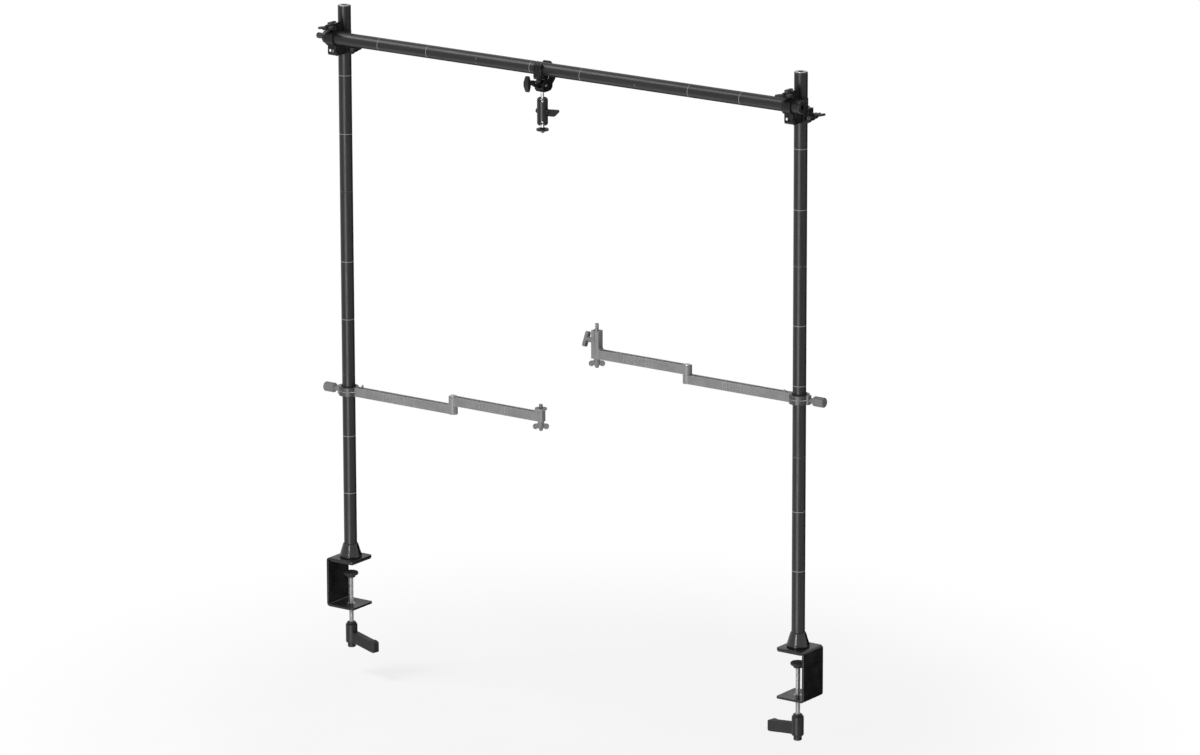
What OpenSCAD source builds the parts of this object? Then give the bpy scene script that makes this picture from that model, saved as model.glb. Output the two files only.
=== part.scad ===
// Desk camera stand: a gantry of two clamped poles and a crossbar, with a
// double ball arm under the crossbar and a folding side arm on each pole.
// The origin is on the left pole's axis, in the plane of the desk top.
// +X runs along the crossbar, +Y away from the user, +Z up.

/* [Gantry] */
// Distance between the two pole axes
span = 913; // [700:1:1200]
// Length of one screwed section of a pole
pole_section_len = 317.5; // [300:0.5:340]
// Length of one screwed section of the crossbar
bar_section_len = 317.5; // [300:0.5:340]
// Height of the crossbar axis above the desk top
bar_height = 913; // [880:1:925]
// Distance of the crossbar axis in front of the pole axes
bar_front = 34; // [34:0.5:36]
// How far the crossbar stands past the left pole axis
bar_overhang = 14; // [14:1:30]
// Outside diameter of the tubes
tube_d = 22; // [21.5:0.1:22]
// Wall thickness of the tubes
tube_wall = 1.6; // [1.2:0.1:2]

/* [Desk clamps] */
// Thickness of the desk that the clamps are closed on
desk_t = 21; // [10:1:45]
// Outside height of the clamp bracket
bracket_h = 86; // [80:1:94]
// Width of the clamp bracket from front to back
bracket_w = 57; // [45:1:65]
// Thickness of the bent plate
plate_t = 3.5; // [2.5:0.1:4]
// Length of the one-sided clamp handle from the screw axis
handle_reach = 64; // [60:1:70]
// Direction of the left clamp handle, in degrees from +X
left_handle_turn = -12; // [-30:1:20]
// Direction of the right clamp handle, in degrees from +X
right_handle_turn = 169; // [150:1:215]

/* [Crossbar clamp] */
// Position of the clamp with the ball arm along the crossbar
crab_x = 430; // [150:1:760]
// Length of the double ball arm's barrel
barrel_len = 47; // [46:1:60]
// Diameter of the double ball arm's barrel
barrel_d = 18; // [17.6:0.1:18.4]

/* [Side arms] */
// Height of the left arm's collar above the desk
left_arm_z = 298; // [180:1:340]
// Height of the right arm's collar above the desk
right_arm_z = 423; // [360:1:460]
// Length of the lower link between its two axes
lower_link_len = 219; // [190:1:230]
// Length of the upper link between its two axes
upper_link_len = 180.5; // [176:0.5:186]
// Height of one link
link_h = 15; // [14:0.5:16]
// Width of one link
link_w = 12; // [10:0.5:13]
// Height of the left arm's end post above the link's underside
left_post_h = 20; // [18:1:30]
// Height of the right arm's end post above the link's underside
right_post_h = 47; // [44:1:56]

/* [Hidden] */
$fn = 64;

black = [0.07, 0.07, 0.08];
gloss_black = [0.04, 0.04, 0.05];
rubber_black = [0.1, 0.1, 0.1];
silver = [0.75, 0.76, 0.78];
arm_grey = [0.5, 0.51, 0.52];

tube_r = tube_d / 2;
bore_r = tube_r - tube_wall;
// Sliding gap between a tube and a clamp that moves along it
slide_gap = 0.08;
clamp_r = tube_r + slide_gap;
clamp_wall = 3.4;
clamp_outer = clamp_r + clamp_wall;

// Joiners: a socket in one end of each section and a threaded stud in the other
joiner_r = bore_r - 0.05;
joiner_len = 21;
// The socket plug stands out of its tube by this much, into a recess of the next one
joiner_proud = 0.8;
joiner_inset = 1.1;
stud_r = 4.9;
socket_r = 5;
stud_len = 16.4;
socket_depth = 18;
set_screw_r = 1.5;
set_screw_up = 4.5;
set_screw_turn = -22;

// Clamp bracket
pad_t = 2.5;
plate_top = pad_t + plate_t;
web_out = 30;
lip_out = 24.5;
bend_r = 5.5;
plate_corner_r = 4;
screw_r = 3.9;
press_pad_r = 12.5;
press_pad_t = 5;
press_hub_r = 7.5;
press_hub_t = 4;
hub_top = -109.5;
hub_len = 44.5;
hub_r = 10;
flange_floor = 3;
flange_h = 24;
pole_z0 = plate_top + flange_floor;

// Light ring marks cut round the tubes, in pairs 100 mm apart
ring_depth = 0.15;
ring_w = 1.2;
left_rings = [119.4, 219.4, 423, 523, 743, 843];
right_rings = [134.5, 234.5, 445, 545, 736.6, 836.6];
bar_rings = [101.2, 201.2, 410.9, 510.9, 723.5, 823.5];

// Corner couplers, in a frame with its origin on the pole axis at bar height
strap_x = 2;
strap_w = 16.4;
part_gap = 0.3;
lug_top = 25;
bolt_up = 19.4;
bolt_r = 2.9;
eye_r = 4.4;
eye_w = 6;
pin_r = 2;
lug_t = 4.3;
// The strap's lower hinge: a thin pin in slim knuckles, with two windows above it
bar_hinge_y = -35;
bar_hinge_z = -27.5;
thin_knuckle_r = 2.7;
thin_pin_r = 1.3;
window_top = -19.8;
// Middle and thickness of the casting's slim ear between the strap's knuckles
ear_x = -2;
ear_t = 1.8;
// Cheek at the other end of those knuckles
cheek_x = 9.6;
cheek_t = 1.9;
knuckle_r = 4;
band_low = -33;
band_high = -8;
pole_bolt_z = -23.5;
ring_high = 8;
pole_hinge_x = -19.5;
pole_bolt_x = 18;
nut_bore_r = 3.35;
wing_span = 31;
wing_tilt = 6;

// Clamp under the crossbar, in a frame with its origin on the bar axis
crab_w = 17;
crab_pivot_z = -27;
crab_pivot_y = -2;
crab_root_r = 4.4;
crab_screw_z = -18.5;
crab_bottom = -37.8;
ball_r = 6.2;
neck_r = 2.75;
barrel_r = barrel_d / 2;
barrel_z = -71.2;
ball_off = barrel_len / 2 - 7.5;
quarter_inch_r = 3.175;
// Where such a screw runs in a nut or bore, its core and the hole are drawn without the thread
thread_core_r = 2.6;

// Side arms, in a frame with its origin on the pole axis at collar height
sleeve_r = clamp_r + 1.5;
collar_r = 17;
collar_gap = 0.05;
elbow_r = 7.7;
elbow_pin_r = 3;
stack_gap = 0.3;
left_post_w = 12.5;
right_post_w = 15.5;
phone_ball_r = 5.14;
seat_down = 5;
wing_screw_turn = 35;

// Flat outline with straight sides and four round corners
module round_rect(x0, x1, y0, y1, r) {
    translate([x0 + r, y0]) square([x1 - x0 - 2 * r, y1 - y0]);
    translate([x0, y0 + r]) square([x1 - x0, y1 - y0 - 2 * r]);
    for (x = [x0 + r, x1 - r], y = [y0 + r, y1 - r]) translate([x, y]) circle(r = r);
}

// Outline with its two corners on the -X side rounded
module left_round(x0, x1, y0, y1, r) {
    translate([x0 + r, y0]) square([x1 - x0 - r, y1 - y0]);
    translate([x0, y0 + r]) square([r + 1, y1 - y0 - 2 * r]);
    for (y = [y0 + r, y1 - r]) translate([x0 + r, y]) circle(r = r);
}

// Box given by its two opposite corners
module box(a, b) {
    translate(a) cube(b - a);
}

// Cylinder along X from x0 to x1
module rod_x(r, x0, x1) {
    translate([x0, 0, 0]) rotate([0, 90, 0]) cylinder(r = r, h = x1 - x0);
}

// Cylinder along Y from y0 to y1
module rod_y(r, y0, y1) {
    translate([0, y0, 0]) rotate([-90, 0, 0]) cylinder(r = r, h = y1 - y0);
}

// Children mirrored to the right clamp
module right_side() {
    translate([span, 0, 0]) mirror([1, 0, 0]) children();
}

// One length of tube along +Z from the origin, with chamfered ends and ring marks
module tube_section(len, rings, offset) {
    edge = 0.4;
    color(black) difference() {
        rotate_extrude() polygon([
            [bore_r, 0], [tube_r - edge, 0], [tube_r, edge],
            [tube_r, len - edge], [tube_r - edge, len], [bore_r, len]
        ]);
        for (ring = rings)
            if (ring > offset + 2 && ring < offset + len - 2)
                translate([0, 0, ring - offset - ring_w / 2]) difference() {
                    cylinder(r = tube_r + 1, h = ring_w);
                    cylinder(r = tube_r - ring_depth, h = ring_w);
                }
        rotate([0, 0, set_screw_turn]) translate([0, 0, set_screw_up])
            rod_x(set_screw_r + 0.1, bore_r - 1, tube_r + 1);
    }
}

module pole_section(x, index, rings) {
    z0 = pole_z0 + index * pole_section_len;
    translate([x, 0, z0]) tube_section(pole_section_len, rings, z0);
}

module bar_section(index) {
    x0 = -bar_overhang + index * bar_section_len;
    translate([x0, -bar_front, bar_height]) rotate([0, 90, 0])
        rotate([0, 0, 90]) tube_section(bar_section_len, bar_rings, x0);
}

// Threaded socket that closes the far end of a section
module socket_plug(len) {
    translate([0, 0, len + joiner_proud - joiner_len]) difference() {
        cylinder(r = joiner_r, h = joiner_len);
        translate([0, 0, joiner_len - socket_depth]) cylinder(r = socket_r, h = socket_depth + 1);
    }
}

// Plug with a threaded stud that stands out of the near end of a section
module stud_plug() {
    difference() {
        union() {
            translate([0, 0, joiner_inset]) cylinder(r = joiner_r, h = joiner_len - 6);
            translate([0, 0, -stud_len]) cylinder(r1 = stud_r - 0.8, r2 = stud_r, h = 1);
            translate([0, 0, 1 - stud_len]) cylinder(r = stud_r, h = stud_len + 1);
        }
        set_screw_hole();
    }
}

module set_screw_hole() {
    rotate([0, 0, set_screw_turn]) translate([0, 0, set_screw_up])
        rod_x(set_screw_r + 0.1, 5.5, tube_r);
}

// Plug in the foot of a pole, drilled for the base bolt
module foot_plug() {
    difference() {
        translate([0, 0, joiner_inset]) cylinder(r = joiner_r, h = joiner_len);
        cylinder(r = 3.05, h = joiner_len);
        set_screw_hole();
    }
}

module set_screw() {
    rotate([0, 0, set_screw_turn]) translate([0, 0, set_screw_up]) difference() {
        rod_x(set_screw_r, 5.6, tube_r - 0.4);
        translate([tube_r - 2, 0, 0]) rotate([0, 90, 0]) cylinder(r = 0.8, h = 3, $fn = 6);
    }
}

module pole_joiners() {
    color(silver) for (x = [0, span], i = [0 : 2])
        translate([x, 0, pole_z0 + i * pole_section_len]) {
            socket_plug(pole_section_len);
            if (i == 0) foot_plug();
            if (i > 0) stud_plug();
        }
}

module pole_set_screws() {
    color(silver) for (x = [0, span], i = [0 : 2])
        translate([x, 0, pole_z0 + i * pole_section_len]) set_screw();
}

module bar_joiners() {
    color(black) for (i = [0 : 2])
        translate([-bar_overhang + i * bar_section_len, -bar_front, bar_height])
            rotate([0, 90, 0]) rotate([0, 0, 90]) {
                socket_plug(bar_section_len);
                stud_plug();
                set_screw();
            }
}

// C-shaped bracket bent from one strip of plate, open towards +X
module bracket() {
    z1 = plate_top;
    z0 = plate_top - bracket_h;
    color(gloss_black) difference() {
        intersection() {
            rotate([90, 0, 0]) linear_extrude(height = bracket_w, center = true) difference() {
                left_round(-web_out, lip_out, z0, z1, bend_r);
                left_round(plate_t - web_out, lip_out + 5, z0 + plate_t, z1 - plate_t,
                    bend_r - plate_t);
            }
            translate([0, 0, z0 - 1]) linear_extrude(height = bracket_h + 2)
                round_rect(-web_out - 20, lip_out, -bracket_w / 2, bracket_w / 2, plate_corner_r);
        }
        // Countersink for the base bolt
        translate([0, 0, pad_t - 0.05]) cylinder(r1 = 6.15, r2 = 3.1, h = plate_t + 0.1);
        // Hole for the pressed-in nut
        translate([0, 0, z0 - 1]) cylinder(r = 7, h = plate_t + 2);
    }
}

module left_bracket() {
    bracket();
}

module right_bracket() {
    right_side() bracket();
}

// Thin rubber liners under the top plates
module jaw_pads() {
    color(rubber_black) for (side = [0, 1]) translate([side * span, 0, 0]) mirror([side, 0, 0])
        linear_extrude(height = pad_t)
            round_rect(plate_t - web_out + 2.2, lip_out - 0.8, 1 - bracket_w / 2,
                bracket_w / 2 - 1, 3);
}

// Conical collar that the pole stands in
module base_flanges() {
    top = plate_top + flange_h;
    color(gloss_black) for (x = [0, span]) translate([x, 0, 0]) rotate_extrude() polygon([
        [3.1, plate_top], [18.4, plate_top], [19, plate_top + 0.6], [19, plate_top + 3.6],
        [18.2, plate_top + 5.4], [13, top - 1.2], [12.2, top], [tube_r + 0.05, top],
        [tube_r + 0.05, pole_z0], [3.1, pole_z0]
    ]);
}

// Countersunk bolts that hold the poles down to the brackets
module base_bolts() {
    color(silver) for (x = [0, span]) translate([x, 0, pad_t]) difference() {
        union() {
            cylinder(r1 = 6, r2 = 3, h = plate_t);
            translate([0, 0, plate_t]) cylinder(r = 3, h = 16);
        }
        translate([0, 0, -1]) cylinder(r = 2.3, h = 3.2, $fn = 6);
    }
}

// Hexagonal nuts pressed into the bottom plates from below
module clamp_nuts() {
    z0 = plate_top - bracket_h;
    color(silver) for (x = [0, span]) translate([x, 0, z0]) difference() {
        union() {
            translate([0, 0, -6]) cylinder(r = 7.5, h = 6, $fn = 6);
            cylinder(r = 7, h = plate_t);
        }
        translate([0, 0, -7]) cylinder(r = 4, h = plate_t + 8);
    }
}

// Swivelling cup that presses on the underside of the desk
module pressure_pad() {
    color(rubber_black) translate([0, 0, -desk_t]) difference() {
        rotate_extrude() polygon([
            [0, 0], [press_pad_r - 1, 0], [press_pad_r, -1], [press_pad_r, 1.2 - press_pad_t],
            [press_pad_r - 1.2, -press_pad_t], [press_hub_r, -press_pad_t],
            [press_hub_r, -press_pad_t - press_hub_t], [0, -press_pad_t - press_hub_t]
        ]);
        translate([0, 0, -press_pad_t - press_hub_t - 1])
            cylinder(r = screw_r + 0.1, h = press_pad_t + press_hub_t - 1);
    }
}

module clamp_screw() {
    top = -desk_t - 2.4;
    color(silver) translate([0, 0, hub_top - 6]) {
        cylinder(r = screw_r, h = top - hub_top + 5);
        translate([0, 0, top - hub_top + 5]) cylinder(r1 = screw_r, r2 = screw_r - 1, h = 1);
    }
}

// Hub with a one-sided, slightly drooping paddle, pointing along +X
module clamp_handle() {
    paddle_t = 11;
    end = handle_reach;
    // Upper edge of the paddle at the hub
    root = hub_top - 17;
    end_r = 3;
    color(black) difference() {
        union() {
            rotate_extrude() polygon([
                [0, hub_top], [hub_r - 3, hub_top], [hub_r - 2.4, hub_top - 0.6],
                [hub_r - 2.4, hub_top - 2.4], [hub_r - 0.8, hub_top - 3.2], [hub_r, hub_top - 5],
                [hub_r, 9.5 + hub_top - hub_len], [hub_r - 1.2, 8 + hub_top - hub_len],
                [6.9, 7.4 + hub_top - hub_len], [6.9, 0.8 + hub_top - hub_len],
                [6.1, hub_top - hub_len], [0, hub_top - hub_len]
            ]);
            rotate([90, 0, 0]) linear_extrude(height = paddle_t, center = true) {
                polygon([
                    [0, root + 0.6], [12, root + 0.2], [22, root - 1.2], [end - 18, root - 4.6],
                    [end - 13, root - 5.1], [end - 8, root - 4.6], [end - 5, root - 4.8],
                    [end - end_r, root - 6], [end, root - 9], [end, root - 22], [end - end_r, root - 25],
                    [end - 8, root - 24.6], [end - 18, root - 23.3], [28, root - 20.8],
                    [14, root - 19], [0, root - 18.4]
                ]);
                for (z = [root - 9, root - 22]) translate([end - end_r, z]) circle(r = end_r);
            }
        }
        translate([0, 0, hub_top - 6]) cylinder(r = screw_r, h = 7);
    }
}

module left_pressure_pad() {
    pressure_pad();
}

module right_pressure_pad() {
    translate([span, 0, 0]) pressure_pad();
}

module left_clamp_screw() {
    clamp_screw();
}

module right_clamp_screw() {
    translate([span, 0, 0]) clamp_screw();
}

module left_clamp_handle() {
    rotate([0, 0, left_handle_turn]) clamp_handle();
}

module right_clamp_handle() {
    translate([span, 0, 0]) rotate([0, 0, right_handle_turn]) clamp_handle();
}

// Half of a ring round the bar axis; side is 1 for the back half, -1 for the front half
module bar_half_ring(outer, side) {
    intersection() {
        translate([strap_x, -bar_front, 0]) difference() {
            rod_x(outer, -strap_w / 2, strap_w / 2);
            rod_x(clamp_r, -strap_w, strap_w);
        }
        translate([-30, side > 0 ? part_gap - bar_front : -bar_front - 30 - part_gap, -30])
            cube([60, 30, 60]);
    }
}

// Half of a ring round the pole; side is -1 for the front half, 1 for the back half
module pole_half_ring(z0, z1, side) {
    intersection() {
        translate([0, 0, z0]) difference() {
            cylinder(r = clamp_outer, h = z1 - z0);
            translate([0, 0, -1]) cylinder(r = clamp_r, h = z1 - z0 + 2);
        }
        translate([-30, side > 0 ? part_gap : -30 - part_gap, z0 - 1]) cube([60, 30, z1 - z0 + 2]);
    }
}

// Extrudes a YZ outline along X from x0 to x1
module along_x(x0, x1) {
    translate([x0, 0, 0]) rotate([90, 0, 90]) linear_extrude(height = x1 - x0) children();
}

// Slim hinge ear of the casting, from the bar's saddle down to the thin pin
module slim_ear() {
    translate([bar_hinge_y, bar_hinge_z]) circle(r = thin_knuckle_r);
    polygon([
        [part_gap - bar_front, -11.5], [-bar_front + 3, -11.5], [-bar_front + 2.6, -25],
        [bar_hinge_y + 2.4, bar_hinge_z - 1.2], [bar_hinge_y, bar_hinge_z], [part_gap - bar_front, -25.4]
    ]);
}

// Deep cheek at the casting's right side, which carries the end of the thin pin
module cheek() {
    low = bar_hinge_z - thin_knuckle_r;
    along_x(cheek_x, cheek_x + cheek_t) polygon([
        [-8, -8], [-8, low + 2], [-14, low], [bar_hinge_y - 2, low],
        [bar_hinge_y - thin_knuckle_r, low + 1.4], [bar_hinge_y - thin_knuckle_r, -22.5],
        [part_gap - bar_front, -20.4], [part_gap - bar_front, -8]
    ]);
}

// Outline of the lugs beside the pole, with the lower outer corner cut off
module pole_lug(y0, y1) {
    translate([0, y1, 0]) rotate([90, 0, 0]) linear_extrude(height = y1 - y0) polygon([
        [10, band_low], [15.5, band_low], [21, -27.5], [21, band_high], [10, band_high]
    ]);
}

// The casting between a pole and the crossbar
module corner_block() {
    knuckle_third = (band_high - band_low) / 3;
    color(black) difference() {
        union() {
            bar_half_ring(clamp_outer, 1);
            pole_half_ring(band_low, ring_high, -1);
            box([-6, -bar_front + 9, -23], [cheek_x + cheek_t, -8, ring_high]);
            box([-6, -17, -29], [cheek_x + cheek_t, -8, -22]);
            box([strap_x - strap_w / 2, part_gap - bar_front, 9],
                [strap_x + strap_w / 2, 13 - bar_front, lug_top]);
            along_x(ear_x - ear_t / 2, ear_x + ear_t / 2) slim_ear();
            cheek();
            pole_lug(-9.5, -part_gap);
            box([pole_hinge_x, -5, band_low], [-10, -part_gap, band_high]);
            translate([pole_hinge_x, 0, band_low]) cylinder(r = knuckle_r, h = knuckle_third - 0.2);
            translate([pole_hinge_x, 0, band_high - knuckle_third + 0.2])
                cylinder(r = knuckle_r, h = knuckle_third - 0.2);
        }
        translate([0, -bar_front, 0]) rod_x(tube_r + 0.02, -40, 40);
        translate([0, 0, -50]) cylinder(r = clamp_r, h = 100);
        // Slot and pin hole for the crossbar's swing bolt
        box([strap_x - eye_w / 2 - 0.2, -bar_front - 1, bolt_up - eye_r - 0.4],
            [strap_x + eye_w / 2 + 0.2, 13.5 - bar_front, 30]);
        translate([strap_x, 6.5 - bar_front, bolt_up]) rod_x(pin_r, -20, 20);
        // Slot and pin hole for the pole's swing bolt
        box([pole_bolt_x - eye_r - 0.4, -11, pole_bolt_z - eye_w / 2 - 0.2],
            [26, 1, pole_bolt_z + eye_w / 2 + 0.2]);
        translate([pole_bolt_x, -5, -50]) cylinder(r = pin_r, h = 60);
        // Hinge pin holes
        translate([0, bar_hinge_y, bar_hinge_z]) rod_x(thin_pin_r, -20, 20);
        translate([pole_hinge_x, 0, -50]) cylinder(r = pin_r, h = 60);
        // Room for the middle knuckle of the pole strap
        translate([pole_hinge_x, 0, band_low + knuckle_third])
            cylinder(r = knuckle_r + 0.4, h = knuckle_third);
    }
}

// Front half of the crossbar clamp
module bar_strap() {
    low_x = strap_x - strap_w / 2;
    high_x = strap_x + strap_w / 2;
    color(black) difference() {
        union() {
            bar_half_ring(clamp_outer, -1);
            box([low_x, -bar_front - lug_t, 10], [high_x, -bar_front - part_gap, lug_top]);
            box([low_x, -bar_front - lug_t, window_top], [high_x, -bar_front - part_gap, -10]);
            // Two slim members beside the windows, down to the knuckles
            box([low_x, -bar_front - lug_t, bar_hinge_z],
                [low_x + 1.6, -bar_front - lug_t + 2.4, window_top + 1]);
            box([cheek_x - 0.3 - 1.6, -bar_front - lug_t, bar_hinge_z],
                [cheek_x - 0.3, -bar_front - lug_t + 2.4, window_top + 1]);
            translate([0, bar_hinge_y, bar_hinge_z]) {
                rod_x(thin_knuckle_r, low_x, ear_x - ear_t / 2 - 0.3);
                rod_x(thin_knuckle_r, ear_x + ear_t / 2 + 0.3, cheek_x - 0.3);
            }
        }
        translate([0, -bar_front, 0]) rod_x(clamp_r, -40, 40);
        box([strap_x - 3.6, -bar_front - lug_t - 1, 14.5], [strap_x + 3.6, -bar_front + 1, 30]);
        translate([0, bar_hinge_y, bar_hinge_z]) rod_x(thin_pin_r + 0.06, -20, 20);
        // Flat seat for the wing nut
        translate([strap_x, -bar_front - lug_t, bolt_up]) rotate([90, 0, 0]) cylinder(r = 7, h = 8);
    }
}

// Back half of the pole clamp
module pole_strap() {
    third = (band_high - band_low) / 3;
    color(black) difference() {
        union() {
            pole_half_ring(band_low, band_high, 1);
            pole_lug(part_gap, lug_t + 0.4);
            box([pole_hinge_x, part_gap, band_low + third + 0.2],
                [-10, 4, band_high - third - 0.2]);
            translate([pole_hinge_x, 0, band_low + third + 0.2])
                cylinder(r = knuckle_r, h = third - 0.4);
        }
        translate([0, 0, -50]) cylinder(r = clamp_r, h = 100);
        box([pole_bolt_x - 3.6, -1, pole_bolt_z - 3.6], [26, lug_t + 2, pole_bolt_z + 3.6]);
        translate([pole_hinge_x, 0, -50]) cylinder(r = pin_r + 0.06, h = 60);
        // Flat seat for the wing nut
        translate([pole_bolt_x, lug_t + 0.4, pole_bolt_z]) rotate([-90, 0, 0]) cylinder(r = 7, h = 8);
    }
}

// Eye bolt with its eye at the origin and its thread along +Z
module swing_bolt() {
    difference() {
        union() {
            rod_x(eye_r, -eye_w / 2, eye_w / 2);
            cylinder(r = bolt_r, h = 33);
            translate([0, 0, 33]) cylinder(r1 = bolt_r, r2 = bolt_r - 0.8, h = 0.8);
        }
        rod_x(pin_r, -eye_w, eye_w);
    }
}

// Moves children from a coupler's frame to each end of the crossbar
module at_corner(x) {
    translate([x, 0, bar_height]) children();
}

module corner_bolts() {
    color(black) for (x = [0, span]) at_corner(x) {
        translate([strap_x, 6.5 - bar_front, bolt_up]) rotate([90, 0, 0]) swing_bolt();
        translate([pole_bolt_x, -5, pole_bolt_z]) rotate([-90, 0, 0]) rotate([0, 0, 90]) swing_bolt();
    }
}

module corner_pins() {
    color(black) for (x = [0, span]) at_corner(x) {
        translate([strap_x, 6.5 - bar_front, bolt_up])
            rod_x(pin_r, -strap_w / 2 - 0.3, strap_w / 2 + 0.3);
        translate([0, bar_hinge_y, bar_hinge_z])
            rod_x(thin_pin_r, strap_x - strap_w / 2 - 0.5, cheek_x + cheek_t + 0.4);
        translate([pole_bolt_x, -5, band_low + 2.6])
            cylinder(r = pin_r, h = band_high - band_low - 2.2);
        translate([pole_hinge_x, 0, band_low - 0.4]) cylinder(r = pin_r, h = band_high - band_low + 0.8);
    }
}

// Wing nut with its bearing face at the origin and its axis along +Z
module wing_nut() {
    hub_h = 13;
    wing_t = 3.2;
    tip_r = 4.9;
    color(black) difference() {
        union() {
            cylinder(r = 6.4, h = 2);
            cylinder(r1 = 5.8, r2 = 4.8, h = hub_h);
            for (s = [0, 180]) rotate([0, 0, s]) rotate([90, 0, 0])
                linear_extrude(height = wing_t, center = true) {
                    polygon([[3, 3.4], [5, 4], [9, 7.3], [14, 11], [9.5, 19.3], [3, 11]]);
                    translate([wing_span / 2 - tip_r, 14.8]) circle(r = tip_r);
                }
        }
        translate([0, 0, -1]) cylinder(r = nut_bore_r, h = hub_h + 2);
    }
}

module bar_nut() {
    translate([strap_x, -bar_front - lug_t, bolt_up]) rotate([90, 0, 0])
        rotate([0, 0, wing_tilt]) wing_nut();
}

module pole_nut() {
    translate([pole_bolt_x, lug_t + 0.4, pole_bolt_z]) rotate([-90, 0, 0])
        rotate([0, 0, -10]) wing_nut();
}

module left_corner_block() {
    at_corner(0) corner_block();
}

module right_corner_block() {
    at_corner(span) corner_block();
}

module left_bar_strap() {
    at_corner(0) bar_strap();
}

module right_bar_strap() {
    at_corner(span) bar_strap();
}

module left_pole_strap() {
    at_corner(0) pole_strap();
}

module right_pole_strap() {
    at_corner(span) pole_strap();
}

module left_bar_nut() {
    at_corner(0) bar_nut();
}

module right_bar_nut() {
    at_corner(span) bar_nut();
}

module left_pole_nut() {
    at_corner(0) pole_nut();
}

module right_pole_nut() {
    at_corner(span) pole_nut();
}

// Moves children from the crab clamp's frame to the crossbar
module at_crab() {
    translate([crab_x, -bar_front, bar_height]) children();
}

// Fixed back jaw with the hub under the bar
module crab_body() {
    half = crab_w / 2;
    slot_half = 4.9;
    cheek_in = 5.8;
    color(black) at_crab() difference() {
        union() {
            along_x(-half, half) polygon([
                [9.8, 10.6], [13.5, 11.3], [16.8, 9.6], [20.3, 6], [24, -5], [25.4, -17],
                [24.8, -20], [17.2, -27], [16.4, -33], [12.5, -36.6], [5, crab_bottom],
                [-5, crab_bottom], [-9.5, -33], [-10.2, -29.6], [-9.4, -24.5],
                [-4.4, -17.4], [3.8, -16.8], [7.6, -17.4], [10.2, -13.6], [9, -6], [9, 0]
            ]);
            translate([0, 0, crab_bottom]) cylinder(r = 6, h = 5);
        }
        rod_x(clamp_r, -half - 1, half + 1);
        // The hook over the bar is narrower than the cheeks
        for (s = [-1, 1]) along_x(s * 7.8 - 1.8, s * 7.8 + 1.8) polygon([[5, 6], [30, 3], [30, 20], [5, 20]]);
        // Shallow recesses in both cheeks
        for (s = [-1, 1]) along_x(s * half - 1.2, s * half + 1.2)
            polygon([[13.6, 1], [18, 4], [22.4, -16], [15.6, -23], [12.2, -19], [12.4, -8]]);
        // Hollow between the cheeks, open at the back
        along_x(-cheek_in, cheek_in) polygon([
            [-12, -11.5], [30, -11.5], [30, -23.4], [3, -23.4], [-12, -23.4]
        ]);
        // Room for the front jaw's root
        translate([0, crab_pivot_y, crab_pivot_z]) rod_x(crab_root_r + 0.4, -slot_half, slot_half);
        box([-slot_half, -20, crab_pivot_z - 3.6], [slot_half, 3, -10]);
        translate([0, crab_pivot_y, crab_pivot_z]) rod_x(2.42, -20, 20);
        translate([0, 0, crab_bottom - 1]) cylinder(r = neck_r + 0.02, h = 5.4);
    }
}

// Ribbed front jaw, which tips about the pivot pin
module crab_jaw() {
    half = 7.8;
    root_half = 4.6;
    strut_half = 3.2;
    arm_half = 2.8;
    color(black) at_crab() difference() {
        union() {
            intersection() {
                difference() {
                    rod_x(clamp_outer + 0.4, -half, half);
                    rod_x(clamp_r, -half - 1, half + 1);
                }
                along_x(-half, half) polygon([[-5, 4.8], [-20, 19.3], [-20, -15.4], [-5, -15.4]]);
            }
            for (i = [-2 : 2]) translate([i * 3.1, 0, 0]) intersection() {
                difference() {
                    rod_x(clamp_outer + 1.6, -0.8, 0.8);
                    rod_x(clamp_outer, -1, 1);
                }
                along_x(-1, 1) polygon([[-5, 4.8], [-20, 19.3], [-20, -14], [-7, -14]]);
            }
            along_x(-half + 0.6, half - 0.6) polygon([
                [-11, -8], [-14.8, -6], [-15.2, -12], [-13.8, -16], [-9.5, -15.8], [-6, -12]
            ]);
            // Strut behind the screw, from the ribbed plate down to the root
            along_x(-strut_half, strut_half) polygon([
                [-11, -12], [-10.4, -20], [-8.4, -26], [-5, -29], [1, -26], [-4, -20], [-5.4, -12]
            ]);
            // Front arm with the boss that the knob turns in
            translate([0, 0, crab_screw_z]) rod_y(3.6, -28.8, -25.2);
            along_x(-arm_half, arm_half) polygon([
                [-28.8, crab_screw_z - 2], [-27, -23.4], [-19, -27.8], [-11.5, -28.9], [-7, -29.3],
                [-4, -26], [-9, -24], [-19, -23.6], [-25.2, crab_screw_z - 2]
            ]);
            translate([0, crab_pivot_y, crab_pivot_z]) rod_x(crab_root_r, -root_half, root_half);
        }
        rod_x(clamp_r, -30, 30);
        translate([0, crab_pivot_y, crab_pivot_z]) rod_x(2.46, -20, 20);
        translate([0, 0, crab_screw_z]) rod_y(2.1, -30, 10);
    }
}

module crab_pivot() {
    color(silver) at_crab() translate([0, crab_pivot_y, crab_pivot_z]) difference() {
        rod_x(2.4, -crab_w / 2 - 1.4, crab_w / 2 + 1.4);
        for (s = [-1, 1]) translate([s * (crab_w / 2 + 1.4), 0, 0]) rotate([0, 90, 0])
            cylinder(r = 1.3, h = 1.4, center = true, $fn = 6);
    }
}

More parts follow.
